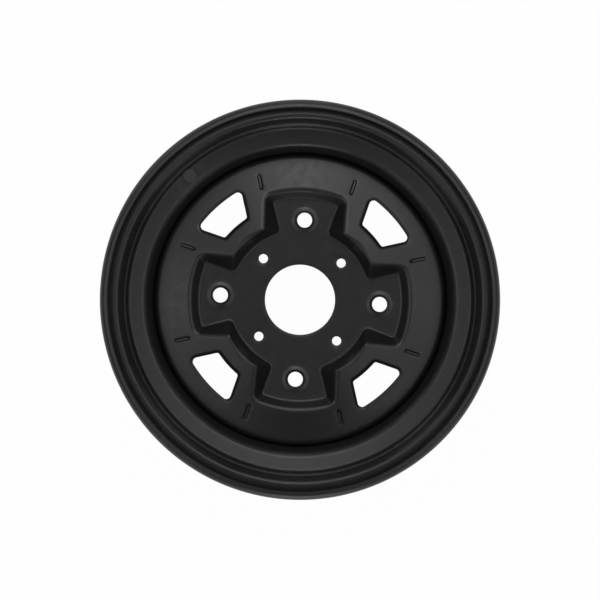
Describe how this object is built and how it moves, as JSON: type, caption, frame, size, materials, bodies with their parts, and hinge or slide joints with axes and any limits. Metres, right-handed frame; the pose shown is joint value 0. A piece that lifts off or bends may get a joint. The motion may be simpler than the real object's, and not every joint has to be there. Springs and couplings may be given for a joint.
{
  "type": "steel wheel rim",
  "caption": "Bare pressed-steel wheel: a rolled drop-centre rim with a welded disc that has a lobed recess, windows, lug holes and a centre bore, painted satin black.",
  "frame": {"origin": "centre of the lug circle on the back of the disc's flat pad, where the wheel meets the hub", "axes": "+Z along the spin axis, out of the outboard face; +X and +Y each through a lug hole; the valve hole lies midway between -X and +Y"},
  "size_m": [0.3444, 0.3444, 0.1744],
  "materials": {
    "black_paint": "satin black powder coat"
  },
  "bodies": {
    "root": {"rim_barrel": "black_paint", "wheel_disc": "black_paint", "weld_beads": "black_paint"}
  },
  "joints": []
}
